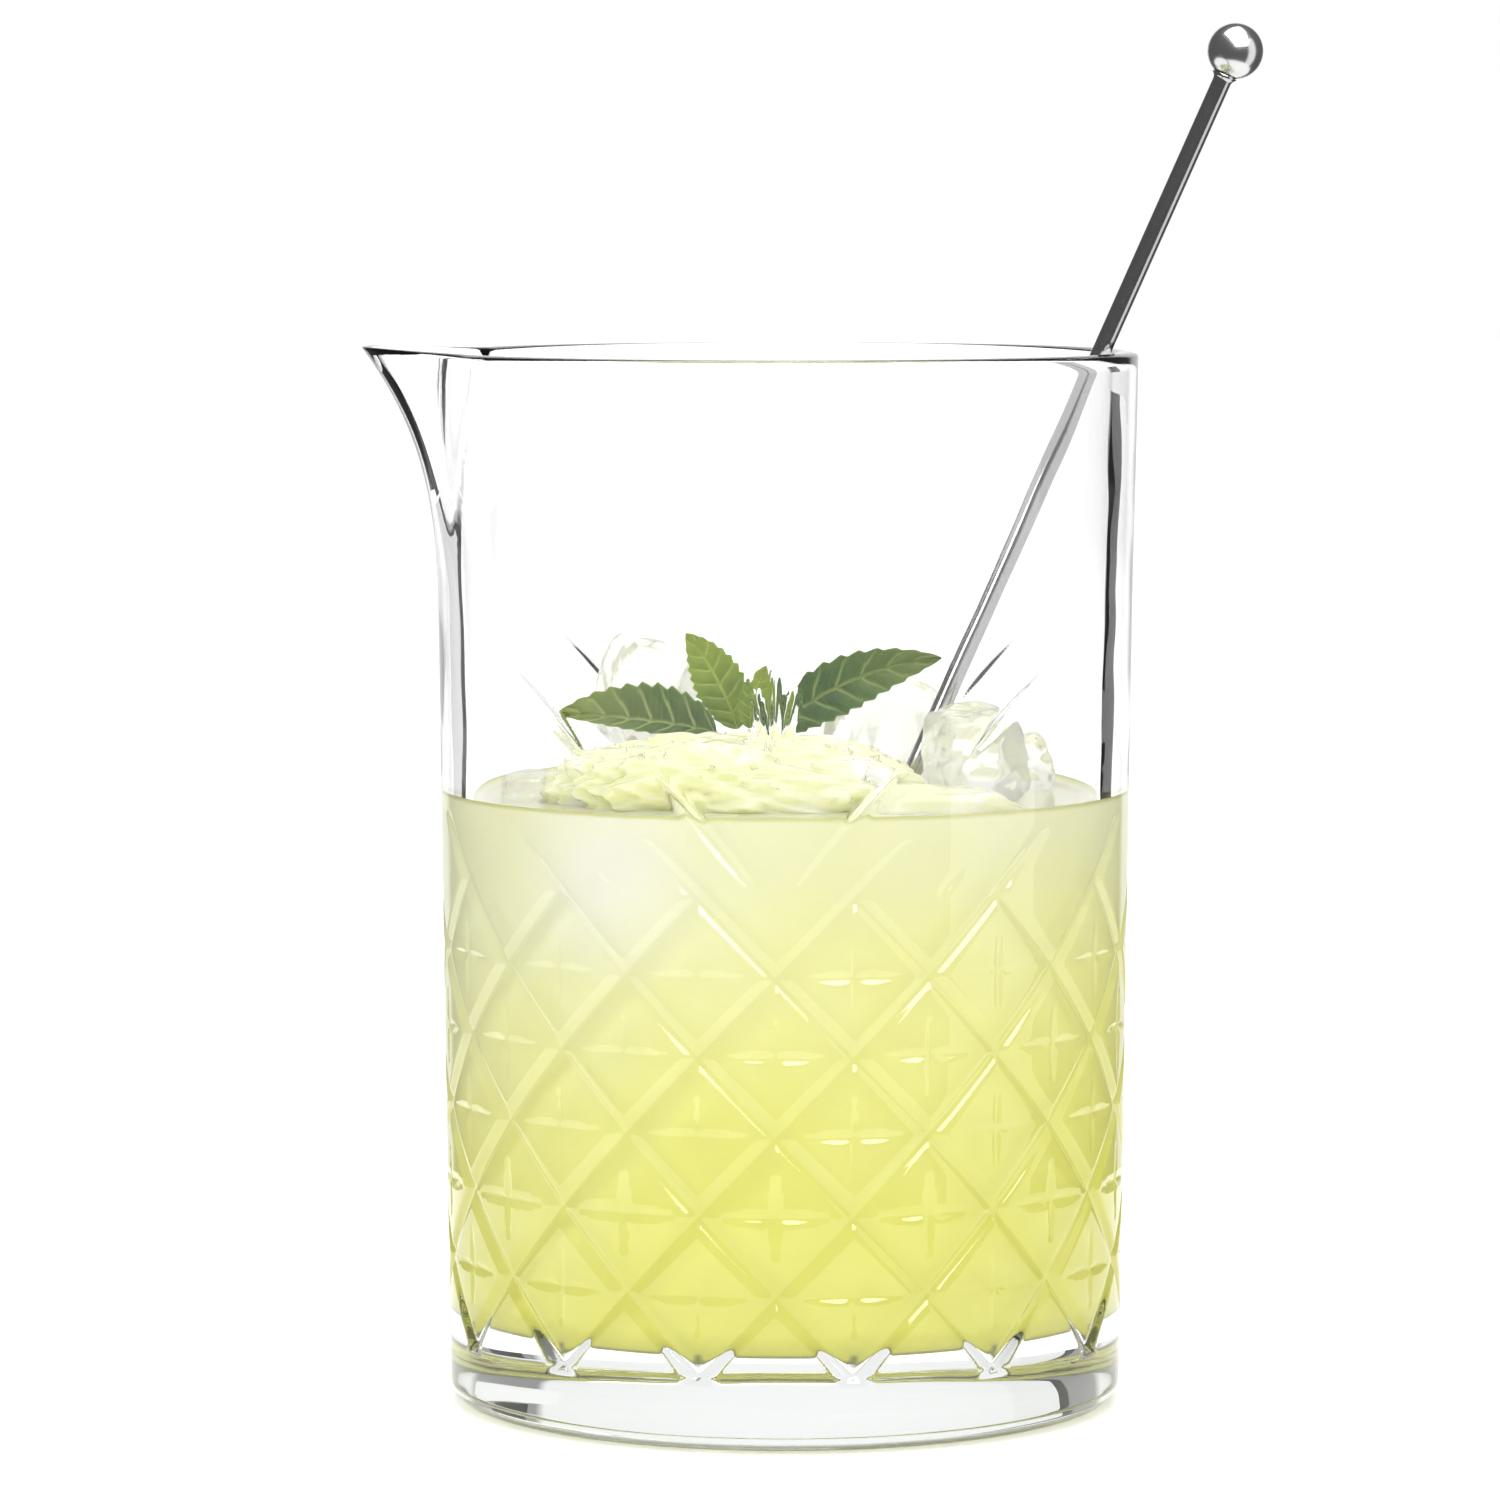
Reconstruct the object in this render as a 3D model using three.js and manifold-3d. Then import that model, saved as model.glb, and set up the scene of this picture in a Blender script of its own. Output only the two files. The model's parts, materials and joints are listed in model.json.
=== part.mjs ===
// A pressed mixing glass with a pouring spout and a cut lattice, holding an iced drink,
// a sprig of mint and a ball-ended stirrer that leans on the rim.
// Millimetres, +Z up. The origin is the centre of the flat underside. The spout points along -X.

import * as THREE from "three";
import { mergeVertices } from "three/addons/utils/BufferGeometryUtils.js";
import Module from "manifold-3d";

const wasm = await Module();
wasm.setup();

// ---- Driving dimensions -------------------------------------------------------------------------

const HEIGHT = 150;
const BASE_RADIUS = 48;
const WALL_SLOPE = 0.0129; // outward per millimetre of height
const RIM_FLARE = 0.3; // extra radius that the wall gains in its top quarter
const FLARE_START = 110;
const HEEL_RADIUS = 3;
const FLOOR = 12.5; // top of the thick base
const LIP_DROP = 1.4; // height over which the rim is rounded

// Inside of the wall: [radius, height] from the floor up, round the corner and up the straight part.
const BORE_STRAIGHT = 18;
const BORE = [
  [39.5, FLOOR],
  [41.9, 13.1],
  [43.1, 14.9],
  [43.5, BORE_STRAIGHT],
  [44.1, 46],
  [44.9, 88],
  [45.9, 120],
  [46.7, HEIGHT - LIP_DROP],
];

// The spout is thrown outwards by SPOUT_THROW at the rim and fades out at SPOUT_START.
const SPOUT_THROW = 10.2;
const SPOUT_START = 112;
const SPOUT_CURVE = 2.9; // the higher, the later the wall turns outwards
const SPOUT_HALF_ANGLE = 27; // degrees at the rim
const SPOUT_ROOT_HALF_ANGLE = 15; // degrees where it starts
const SPOUT_LIFT = 0.7; // the tip is this much higher than the rim

// The cut lattice: diamonds between two families of slanting grooves.
const NODES_AROUND = 14;
const LATTICE_TURN = -1.5; // degrees, from a node facing -Y
const LATTICE_FOOT = 10.7; // height of the lowest row of nodes
const HALF_DIAMOND = 11; // height from one row of nodes to the next
const LATTICE_ROWS = 6;
const FOOT_RING = 9; // height of the plain ring below the lattice
const GROOVE_HALF_WIDTH = 1.3;
const GROOVE_DEPTH = 0.8;
const STAR_DEPTH = 0.7; // the cross cut in the middle of each diamond
const STAR_REACH_ACROSS = 0.68; // arm lengths, in halves of a diamond
const STAR_REACH_UP = 0.51;
const STAR_WAIST = 0.07;

// Columns of the plain part of the wall, and the heights of its rings above the lattice.
const COLUMNS = 56;
const OUTER_RINGS = [79, 96, 106, 114, 120, 126, 132, 137, 142, 146];
const BORE_RINGS = [145, 140, 134, 127, 120, 104, 88, 46, BORE_STRAIGHT, 14.9, 13.1];
const FINE_COLUMNS_WITHIN = 32; // degrees either side of the spout

// Drink, ice and garnish.
const LIQUID_LEVEL = 86.7;
const MENISCUS = 0.9; // how far the drink climbs the wall
const GAP = 0.3; // clearance between neighbouring pieces
const ICE_GAP = GAP + 0.1; // the same round ice, whose facets stand a little proud of each other
const ICE_DETAIL = 2;
const ICE_UNEVEN = 0.05; // share of its size by which a lump's surface waves
const STEM_RADIUS = 1.1;
const STEM_AT = [-5.4, 5.5];
const STEM_FOOT = 82;
const STEM_TOP = 93.6;
const LEAF_THICKNESS = 0.7;

// Stirrer: a straight rod with a ball on top, in the plane y = 0.
const ROD_RADIUS = 1.35;
const ROD_FOOT = [-15.2, 0, 14];
const ROD_LEAN = 23.87; // degrees from vertical, towards +X
const BALL_RADIUS = 4;
const BALL_HEIGHT = 195.1; // from the rod's foot to the ball's centre, along the rod
const CHANNEL_RADIUS = ROD_RADIUS + GAP;

// ---- Materials ----------------------------------------------------------------------------------

function finish(color, roughness, more = {}) {
  return new THREE.MeshStandardMaterial({ color, roughness, ...more });
}

const GLASS = finish(0xe9efee, 0.03, { transparent: true, opacity: 0.4 });
const LIQUID = finish(0xe4e883, 0.2);
const ICE = finish(0xeef2dc, 0.15, { transparent: true, opacity: 0.8 });
const LEAF_DARK = finish(0x3f6f35, 0.6);
const LEAF_LIGHT = finish(0x7fa548, 0.6);
const STEM = finish(0x7c9a4a, 0.6);
const STEEL = finish(0xb9bcc0, 0.15, { metalness: 1 });

// ---- Solids and geometry ------------------------------------------------------------------------

const { smoothstep, degToRad, lerp, euclideanModulo } = THREE.MathUtils;

function solidOf(geometry) {
  const bare = geometry.clone();
  bare.deleteAttribute("normal");
  bare.deleteAttribute("uv");
  const merged = mergeVertices(bare, 1e-3);
  return new wasm.Manifold(
    new wasm.Mesh({
      numProp: 3,
      vertProperties: merged.attributes.position.array,
      triVerts: new Uint32Array(merged.index.array),
    }),
  );
}

function geometryOf(solid) {
  const mesh = solid.getMesh();
  const geometry = new THREE.BufferGeometry();
  geometry.setAttribute("position", new THREE.BufferAttribute(mesh.vertProperties, 3));
  geometry.setIndex(new THREE.BufferAttribute(mesh.triVerts, 1));
  geometry.computeVertexNormals();
  return geometry;
}

function fromTriangles(triangles) {
  const positions = triangles.flat().flatMap((p) => p.toArray());
  const geometry = new THREE.BufferGeometry();
  geometry.setAttribute("position", new THREE.Float32BufferAttribute(positions, 3));
  return mergeVertices(geometry, 1e-3);
}

function cutAll(geometry, cutters) {
  const whole = solidOf(geometry);
  return geometryOf(cutters.reduce((solid, cutter) => solid.subtract(solidOf(cutter)), whole));
}

function named(name, geometry, material) {
  const mesh = new THREE.Mesh(geometry, material);
  mesh.name = name;
  return mesh;
}

// ---- Glass: shape of the wall -------------------------------------------------------------------

function outerRadius(z) {
  const heel = HEEL_RADIUS - Math.min(z, HEEL_RADIUS);
  const rounding = HEEL_RADIUS - Math.sqrt(HEEL_RADIUS ** 2 - heel ** 2);
  return BASE_RADIUS + WALL_SLOPE * z + RIM_FLARE * smoothstep(z, FLARE_START, HEIGHT) - rounding;
}

function boreRadius(z) {
  const above = Math.max(1, BORE.findIndex((point) => point[1] >= z));
  const [low, high] = [BORE[above - 1], BORE[above]];
  return lerp(low[0], high[0], (z - low[1]) / (high[1] - low[1]));
}

// Angle in degrees from +X; how far the spout throws the wall outwards there.
function spoutThrow(angle, z) {
  const rise = Math.max(0, (z - SPOUT_START) / (HEIGHT - SPOUT_START));
  const halfAngle = lerp(SPOUT_ROOT_HALF_ANGLE, SPOUT_HALF_ANGLE, rise);
  const across = Math.min(1, Math.abs(euclideanModulo(angle, 360) - 180) / halfAngle);
  return SPOUT_THROW * rise ** SPOUT_CURVE * Math.cos((across * Math.PI) / 2) ** 2;
}

function wallPoint(angle, radius, z) {
  const thrown = spoutThrow(angle, z);
  const r = radius + thrown;
  const turn = degToRad(angle);
  return new THREE.Vector3(r * Math.cos(turn), r * Math.sin(turn), z + (SPOUT_LIFT * thrown) / SPOUT_THROW);
}

// ---- Glass: rings of points and the skin between them -------------------------------------------

const plainAngles = [];
for (let i = 0; i < COLUMNS; i++) {
  const angle = (i * 360) / COLUMNS;
  plainAngles.push(angle);
  if (Math.abs(angle - 180) < FINE_COLUMNS_WITHIN) plainAngles.push(angle + 180 / COLUMNS);
}

function plainRing(radius, z) {
  return plainAngles.map((angle) => ({ angle, point: wallPoint(angle, radius, z) }));
}

// Triangles between two rings that both run anticlockwise from about +X.
function stitch(low, high) {
  const triangles = [];
  const at = (ring, i) => ring[i % ring.length].point;
  const angleAt = (ring, i) => ring[i % ring.length].angle + 360 * Math.floor(i / ring.length);
  let [i, j] = [0, 0];
  while (i < low.length || j < high.length) {
    const lowTurnsFirst = angleAt(low, i + 1) <= angleAt(high, j + 1);
    if (j >= high.length || (i < low.length && lowTurnsFirst)) {
      triangles.push([at(low, i), at(low, i + 1), at(high, j)]);
      i += 1;
    } else {
      triangles.push([at(low, i), at(high, j + 1), at(high, j)]);
      j += 1;
    }
  }
  return triangles;
}

function fan(ring, centre, facesUp) {
  return ring.map((entry, i) => {
    const next = ring[(i + 1) % ring.length].point;
    return facesUp ? [entry.point, next, centre] : [next, entry.point, centre];
  });
}

// ---- Glass: the lattice -------------------------------------------------------------------------

const HALF_COLUMN = 180 / NODES_AROUND; // degrees from a node to the middle of the next diamond
const LATTICE_TOP = LATTICE_FOOT + LATTICE_ROWS * HALF_DIAMOND;

// column counts half diamonds from the node nearest -Y, and row counts them from the lowest nodes.
function latticePoint(column, row, depth) {
  const z = LATTICE_FOOT + row * HALF_DIAMOND;
  return wallPoint(latticeAngle(column), outerRadius(z) - depth, z);
}

function latticeAngle(column) {
  return -90 + LATTICE_TURN + column * HALF_COLUMN;
}

function isNode(column, row) {
  return (column + row) % 2 !== 0;
}

// One quarter of a diamond and its neighbour, between two nodes on a diagonal. u and v run from
// 0 to 1 along and up from the corner at (column, row).
function latticeCell(column, row) {
  const flip = !isNode(column, row);
  const edge = (GROOVE_HALF_WIDTH * Math.SQRT2) / HALF_DIAMOND;
  const mid = 0.5 + edge / 2;
  const place = (u, v, depth) => latticePoint(column + (flip ? 1 - u : u), row + v, depth);
  const half = (turned) => {
    const p = (u, v, depth) => (turned ? place(1 - u, 1 - v, depth) : place(u, v, depth));
    const centreRow = turned ? row + 1 : row;
    const starred = centreRow > 0 && centreRow < LATTICE_ROWS;
    const node = p(0, 0, GROOVE_DEPTH);
    const farNode = p(1, 1, GROOVE_DEPTH);
    const grooveMid = p(0.5, 0.5, GROOVE_DEPTH);
    const landNear = p(edge, 0, 0);
    const landMid = p(mid, 1 - mid, 0);
    const landFar = p(1, 1 - edge, 0);
    const centre = p(1, 0, starred ? STAR_DEPTH : 0);
    const armAcross = p(1 - STAR_REACH_ACROSS, 0, 0);
    const armUp = p(1, STAR_REACH_UP, 0);
    const waist = p(1 - STAR_WAIST, STAR_WAIST, 0);
    return [
      [armAcross, centre, waist],
      [centre, armUp, waist],
      [landNear, armAcross, waist],
      [landNear, waist, landMid],
      [waist, armUp, landMid],
      [armUp, landFar, landMid],
      [node, landNear, landMid],
      [node, landMid, grooveMid],
      [grooveMid, landMid, landFar],
      [grooveMid, landFar, farNode],
    ];
  };
  const triangles = [...half(false), ...half(true)];
  return flip ? triangles.map(([a, b, c]) => [a, c, b]) : triangles;
}

// The points along the lattice's lowest or highest row, as a ring.
function latticeEdge(row) {
  const edge = (GROOVE_HALF_WIDTH * Math.SQRT2) / HALF_DIAMOND;
  const ring = [];
  for (let column = 0; column < 2 * NODES_AROUND; column++) {
    const node = isNode(column, row);
    const stops = node ? [0, edge, 1 - STAR_REACH_ACROSS] : [0, STAR_REACH_ACROSS, 1 - edge];
    stops.forEach((u, i) => {
      const depth = node && i === 0 ? GROOVE_DEPTH : 0;
      ring.push({ angle: latticeAngle(column + u), point: latticePoint(column + u, row, depth) });
    });
  }
  for (const entry of ring) entry.angle = euclideanModulo(entry.angle, 360);
  return ring.sort((a, b) => a.angle - b.angle);
}

// A long leaf-shaped cut in the wall from one lattice position to another. The cutter's tips, waist
// and back stand outside the wall.
function leafCut(fromColumn, fromRow, toColumn, toRow, width, depth) {
  const [tipProud, waistProud, backProud] = [0.2, 0.3, 3];
  const [column, row] = [(fromColumn + toColumn) / 2, (fromRow + toRow) / 2];
  const a = latticePoint(fromColumn, fromRow, -tipProud);
  const b = latticePoint(toColumn, toRow, -tipProud);
  const inner = latticePoint(column, row, depth);
  const outer = latticePoint(column, row, -backProud);
  const out = outer.clone().sub(inner).normalize();
  const side = b.clone().sub(a).cross(out).setLength(width / 2);
  const waist = latticePoint(column, row, -waistProud);
  const [left, right] = [waist.clone().sub(side), waist.clone().add(side)];
  const half = (tip, first, second) => [
    [tip, first, inner],
    [tip, outer, first],
    [tip, inner, second],
    [tip, second, outer],
  ];
  return fromTriangles([...half(a, left, right), ...half(b, right, left)]);
}

// Cuts above the lattice, once on the front panel and once on the back. Each row gives columns from
// the panel's middle and rows above the lattice's foot for both tips, then width and depth.
function panelCuts() {
  const top = LATTICE_ROWS;
  const pairs = [
    [1, top, 1.62, top + 0.72, 2.0, 0.8], // grooves that run on past the lattice
    [3, top, 3.75, top + 0.78, 2.0, 0.8],
    [5, top, 5.75, top + 0.78, 2.0, 0.8],
    [0.17, top - 0.05, 1.58, top + 1.63, 2.4, 0.9], // the large V
    [2.09, top, 2.46, top + 0.34, 1.6, 0.6],
    [2.53, top + 1.72, 3.72, top + 2.75, 2.6, 1.0], // the outermost rays
    [0.12, top + 1.95, 0.3, top + 2.75, 1.2, 0.6], // the narrow rays in the middle
  ];
  const cuts = [];
  for (const middle of [0, NODES_AROUND]) {
    cuts.push(leafCut(middle, top + 1.9, middle, top + 2.85, 1.3, 0.7));
    for (const [c0, r0, c1, r1, ...size] of pairs) {
      cuts.push(leafCut(middle - c0, r0, middle - c1, r1, ...size));
      cuts.push(leafCut(middle + c0, r0, middle + c1, r1, ...size));
    }
  }
  return cuts;
}

function glassGeometry() {
  const outer = (z) => plainRing(outerRadius(z), z);
  const foot = [0, 0.4, 1.4, HEEL_RADIUS, FOOT_RING].map(outer);
  const lipFoot = HEIGHT - LIP_DROP;
  const upper = [...OUTER_RINGS, lipFoot].map(outer);
  const [shoulderIn, shoulderDown] = [0.6, 0.3];
  const lipOut = outerRadius(HEIGHT) - shoulderIn;
  const lipIn = boreRadius(lipFoot) + shoulderIn;
  const lip = [
    plainRing(lipOut, HEIGHT - shoulderDown),
    plainRing((lipOut + lipIn) / 2, HEIGHT),
    plainRing(lipIn, HEIGHT - shoulderDown),
  ];
  const bore = [lipFoot, ...BORE_RINGS, FLOOR].map((z) => plainRing(boreRadius(z), z));
  const below = [...foot, latticeEdge(0)];
  const above = [latticeEdge(LATTICE_ROWS), ...upper, ...lip, ...bore];
  const triangles = [];
  for (const rings of [below, above])
    rings.slice(1).forEach((ring, i) => triangles.push(...stitch(rings[i], ring)));
  for (let row = 0; row < LATTICE_ROWS; row++)
    for (let column = 0; column < 2 * NODES_AROUND; column++)
      triangles.push(...latticeCell(column, row));
  triangles.push(...fan(foot[0], new THREE.Vector3(0, 0, 0), false));
  triangles.push(...fan(bore[bore.length - 1], new THREE.Vector3(0, 0, FLOOR), true));
  return cutAll(fromTriangles(triangles), panelCuts());
}

// ---- Stirrer ------------------------------------------------------------------------------------

const stirrer = new THREE.Group();
stirrer.position.set(...ROD_FOOT);
stirrer.rotation.y = degToRad(ROD_LEAN);
stirrer.updateMatrixWorld(true);

function rodGeometry() {
  const top = BALL_HEIGHT - BALL_RADIUS - GAP;
  const profile = [
    [0, 0],
    [ROD_RADIUS - 0.4, 0],
    [ROD_RADIUS, 0.4],
    [ROD_RADIUS, top],
    [0, top],
  ];
  const turned = new THREE.LatheGeometry(profile.map((p) => new THREE.Vector2(...p)), 20);
  return geometryOf(solidOf(turned.rotateX(Math.PI / 2)));
}

function rodChannel() {
  const length = BALL_HEIGHT;
  const channel = new THREE.CylinderGeometry(CHANNEL_RADIUS, CHANNEL_RADIUS, length, 20);
  channel.rotateX(Math.PI / 2).translate(0, 0, length / 2 - 2 * GAP);
  return channel.applyMatrix4(stirrer.matrixWorld);
}

// ---- Ice ----------------------------------------------------------------------------------------

// A lump with rounded corners and a slightly uneven surface. grow adds clearance all round, and
// lift stretches its upper half upwards, for the way that a lump is taken out.
function iceLump(shape, grow = 0, lift = 0) {
  const { at, size, turn = [0, 0, 0], squareness = 4, phase } = shape;
  const lump = new THREE.IcosahedronGeometry(1, ICE_DETAIL);
  const spin = new THREE.Matrix4().makeRotationFromEuler(new THREE.Euler(...turn.map(degToRad)));
  const half = new THREE.Vector3(...size).multiplyScalar(0.5).addScalar(grow);
  const points = lump.attributes.position;
  for (let i = 0; i < points.count; i++) {
    const p = new THREE.Vector3().fromBufferAttribute(points, i).normalize();
    const power = p.toArray().reduce((sum, share) => sum + Math.abs(share) ** squareness, 0);
    const wave = Math.sin(5 * p.x + phase) * Math.cos(4 * p.y - 2 * phase) * Math.cos(3 * p.z + phase);
    const reach = (1 + ICE_UNEVEN * wave) / power ** (1 / squareness);
    p.multiplyScalar(reach).multiply(half).applyMatrix4(spin);
    if (p.z > 0) p.z += lift;
    points.setXYZ(i, p.x, p.y, p.z);
  }
  lump.translate(...at);
  return lump;
}

// Lumps that can be picked out. Each stands clear of the others and of the sprig.
const LOOSE_ICE = {
  ice_cube_back_left: { at: [-20.5, 21, 98.5], size: [14, 15, 17], turn: [8, 12, 24], phase: 1 },
  ice_cube_right: { at: [26.6, -9.4, 93], size: [14, 11.5, 15], turn: [6, -10, 30], phase: 2 },
  ice_cube_back_right: { at: [14.5, 22, 94], size: [17, 14, 15], turn: [-8, 6, -20], phase: 3 },
  ice_chip_left: { at: [-34.3, -8, 87.2], size: [11, 13, 6], turn: [0, 6, 12], phase: 4 },
  ice_chip_right: { at: [35, 8.5, 89.8], size: [8, 10, 9], turn: [0, -18, 10], phase: 5 },
};

// Lumps held fast in the slush.
const HELD_ICE = {
  ice_cube_front_left: { at: [-23.4, -29.8, 78], size: [12, 9, 16], turn: [4, 6, -36], phase: 6 },
  ice_cube_front_right: { at: [12.8, -34, 80], size: [15, 8, 12], turn: [-3, 8, 19], phase: 7 },
};

const SLUSH = { at: [-6.2, -12.5, 86.3], size: [58, 37, 19], squareness: 2.6, phase: 8 };
const TAKEN_OUT = 60; // height over which the way out of a loose lump is kept open

function iceClearances() {
  const loose = Object.values(LOOSE_ICE).map((lump) => iceLump(lump, ICE_GAP, TAKEN_OUT));
  const held = Object.values(HELD_ICE).map((lump) => iceLump(lump, ICE_GAP));
  return [...loose, ...held];
}

function stemClearance() {
  const length = 40;
  const bore = new THREE.CylinderGeometry(STEM_RADIUS + GAP, STEM_RADIUS + GAP, length, 16);
  return bore.rotateX(Math.PI / 2).translate(...STEM_AT, STEM_FOOT - GAP + length / 2);
}

// ---- Drink --------------------------------------------------------------------------------------

function drinkGeometry() {
  const wet = BORE.filter(([, z]) => z < LIQUID_LEVEL);
  const inside = wet.map(([r, z]) => [r - GAP, z < BORE_STRAIGHT ? z + GAP : z]);
  const wall = boreRadius(LIQUID_LEVEL) - GAP;
  const profile = [
    [0, FLOOR + GAP],
    ...inside,
    [wall, LIQUID_LEVEL + MENISCUS],
    [wall - 0.6, LIQUID_LEVEL + MENISCUS / 3],
    [wall - 1.8, LIQUID_LEVEL],
    [0, LIQUID_LEVEL],
  ];
  const turned = new THREE.LatheGeometry(profile.map((p) => new THREE.Vector2(...p)), COLUMNS);
  const cutters = [iceLump(SLUSH, ICE_GAP), rodChannel(), stemClearance(), ...iceClearances()];
  return cutAll(turned.rotateX(Math.PI / 2), cutters);
}

function slushGeometry() {
  return cutAll(iceLump(SLUSH), [rodChannel(), stemClearance(), ...iceClearances()]);
}

// ---- Mint ---------------------------------------------------------------------------------------

// A pointed blade along a curve from base to tip. facing is the way its upper side looks, halfWidth
// its reach to either side of the midrib, and fold how far its edges stand forward of the midrib.
function leafGeometry({ base, through, tip, facing, halfWidth, fold = 0.2 }) {
  const stations = 9;
  const rib = new THREE.QuadraticBezierCurve3(...[base, through, tip].map((p) => new THREE.Vector3(...p)));
  const front = new THREE.Vector3(...facing).normalize();
  const back = front.clone().multiplyScalar(-LEAF_THICKNESS);
  const sections = [];
  for (let i = 0; i <= stations; i++) {
    const t = i / stations;
    const across = rib.getTangent(t).cross(front).normalize();
    const reach = halfWidth * Math.max(0.08, Math.sin(Math.PI * t ** 0.8) ** 0.75);
    const middle = rib.getPoint(t);
    const raised = middle.clone().addScaledVector(front, fold * reach);
    const edge = (side) => raised.clone().addScaledVector(across, side * reach);
    const upper = [edge(-1), middle, edge(1)];
    sections.push([...upper, ...upper.map((p) => p.clone().add(back)).reverse()]);
  }
  const triangles = [];
  sections.slice(1).forEach((section, i) => {
    const before = sections[i];
    section.forEach((p, k) => {
      const next = (k + 1) % section.length;
      triangles.push([before[k], before[next], p], [before[next], section[next], p]);
    });
  });
  const corners = [[0, 4, 1], [0, 5, 4], [1, 3, 2], [1, 4, 3]];
  for (const [a, b, c] of corners) {
    const [start, end] = [sections[0], sections[stations]];
    triangles.push([start[a], start[b], start[c]], [end[a], end[c], end[b]]);
  }
  return fromTriangles(triangles);
}

const LEAVES = {
  mint_leaf_left: {
    base: [-9.8, 4.0, 95.6], through: [-20, 3.8, 99.0], tip: [-33.1, 3.0, 97.6],
    facing: [0.1, -0.8, 0.6], halfWidth: 4.6, material: LEAF_DARK,
  },
  mint_leaf_upright: {
    base: [-6.9, 7.4, 95.0], through: [-9.4, 7.4, 103], tip: [-14.3, 6.8, 108.9],
    facing: [-0.1, -1, 0.2], halfWidth: 3.7, material: LEAF_LIGHT,
  },
  mint_leaf_small: {
    base: [-5.2, 4.2, 95.4], through: [-4.9, 3.4, 100.6], tip: [-2.7, 2.8, 104.5],
    facing: [0.3, -1, 0.15], halfWidth: 2.3, material: LEAF_LIGHT,
  },
  mint_leaf_right: {
    base: [-2.2, 5.2, 94.6], through: [7.8, 5.0, 104.2], tip: [22.6, 4.2, 105.4],
    facing: [-0.15, -0.95, 0.4], halfWidth: 4.9, material: LEAF_DARK,
  },
  mint_leaf_bud: {
    base: [-3.9, 3.0, 95.1], through: [-3.4, 2.8, 96.2], tip: [-2.7, 2.5, 97.6],
    facing: [0.2, -1, 0.3], halfWidth: 0.9, material: LEAF_DARK,
  },
};

function stemGeometry() {
  const length = STEM_TOP - STEM_FOOT;
  const stem = new THREE.CylinderGeometry(STEM_RADIUS, STEM_RADIUS, length, 12);
  return geometryOf(solidOf(stem.rotateX(Math.PI / 2).translate(...STEM_AT, STEM_FOOT + length / 2)));
}

// ---- Assembly -----------------------------------------------------------------------------------

const glass = new THREE.Group();
glass.add(named("glass_body", glassGeometry(), GLASS));

const contents = new THREE.Group();
contents.add(named("drink", drinkGeometry(), LIQUID));
contents.add(named("ice_slush", slushGeometry(), ICE));
for (const [name, lump] of Object.entries({ ...LOOSE_ICE, ...HELD_ICE }))
  contents.add(named(name, mergeVertices(iceLump(lump), 1e-3), ICE));

const sprig = new THREE.Group();
sprig.add(named("mint_stem", stemGeometry(), STEM));
for (const [name, leaf] of Object.entries(LEAVES))
  sprig.add(named(name, leafGeometry(leaf), leaf.material));

stirrer.add(named("stirrer_rod", rodGeometry(), STEEL));
const ball = named("stirrer_ball", new THREE.SphereGeometry(BALL_RADIUS, 24, 16), STEEL);
ball.position.z = BALL_HEIGHT;
stirrer.add(ball);

const mixingGlass = new THREE.Group();
mixingGlass.add(glass, contents, sprig, stirrer);
export default mixingGlass;
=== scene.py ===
"""A mixing glass with its drink, ice, mint and stirrer. Metres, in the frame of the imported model."""

import json
import math

import bmesh
import bpy
import numpy as np
from mathutils import Euler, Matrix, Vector


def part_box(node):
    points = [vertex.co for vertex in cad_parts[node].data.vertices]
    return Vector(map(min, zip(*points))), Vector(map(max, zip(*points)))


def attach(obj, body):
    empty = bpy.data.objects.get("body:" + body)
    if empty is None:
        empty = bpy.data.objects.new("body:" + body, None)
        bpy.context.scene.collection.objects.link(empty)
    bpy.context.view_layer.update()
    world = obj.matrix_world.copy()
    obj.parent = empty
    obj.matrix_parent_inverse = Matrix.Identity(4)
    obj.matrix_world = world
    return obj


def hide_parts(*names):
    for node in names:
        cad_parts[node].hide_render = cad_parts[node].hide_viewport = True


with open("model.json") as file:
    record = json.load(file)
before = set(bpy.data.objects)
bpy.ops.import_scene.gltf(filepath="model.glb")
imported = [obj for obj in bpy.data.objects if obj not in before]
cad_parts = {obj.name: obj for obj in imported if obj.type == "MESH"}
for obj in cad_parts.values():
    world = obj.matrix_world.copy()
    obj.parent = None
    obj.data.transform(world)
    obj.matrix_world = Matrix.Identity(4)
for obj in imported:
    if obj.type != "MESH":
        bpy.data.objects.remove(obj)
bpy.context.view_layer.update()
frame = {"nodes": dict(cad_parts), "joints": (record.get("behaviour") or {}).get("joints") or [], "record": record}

MM = 0.001

# ---- Driving dimensions, in millimetres ----------------------------------------------------------

glass_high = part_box("glass_body")[1] / MM
SPOUT_LIFT = 0.7  # the tip of the spout is this much higher than the rim
HEIGHT = glass_high.z - SPOUT_LIFT
RIM_RADIUS = glass_high.y
BASE_RADIUS = 48.0
WALL_SLOPE = 0.0129
FLARE_START = 110.0
RIM_FLARE = RIM_RADIUS - BASE_RADIUS - WALL_SLOPE * HEIGHT
HEEL_RADIUS = 3.0
FLOOR = 12.5
LIP_DROP = 0.7

BORE_RADII = (43.5, 44.1, 44.9, 45.9, 46.7)
BORE_HEIGHTS = (18.0, 46.0, 88.0, 120.0, HEIGHT - LIP_DROP)
BORE_FILLET = 4.0

SPOUT_THROW = 10.2
SPOUT_START = 112.0
SPOUT_CURVE = 2.9
SPOUT_HALF_ANGLE = 27.0
SPOUT_ROOT_HALF_ANGLE = 15.0
SPOUT_TAPER = 0.24  # share by which the bore is thrown further than the outer wall
SPOUT_LIP_DROP = 0.3

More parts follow.
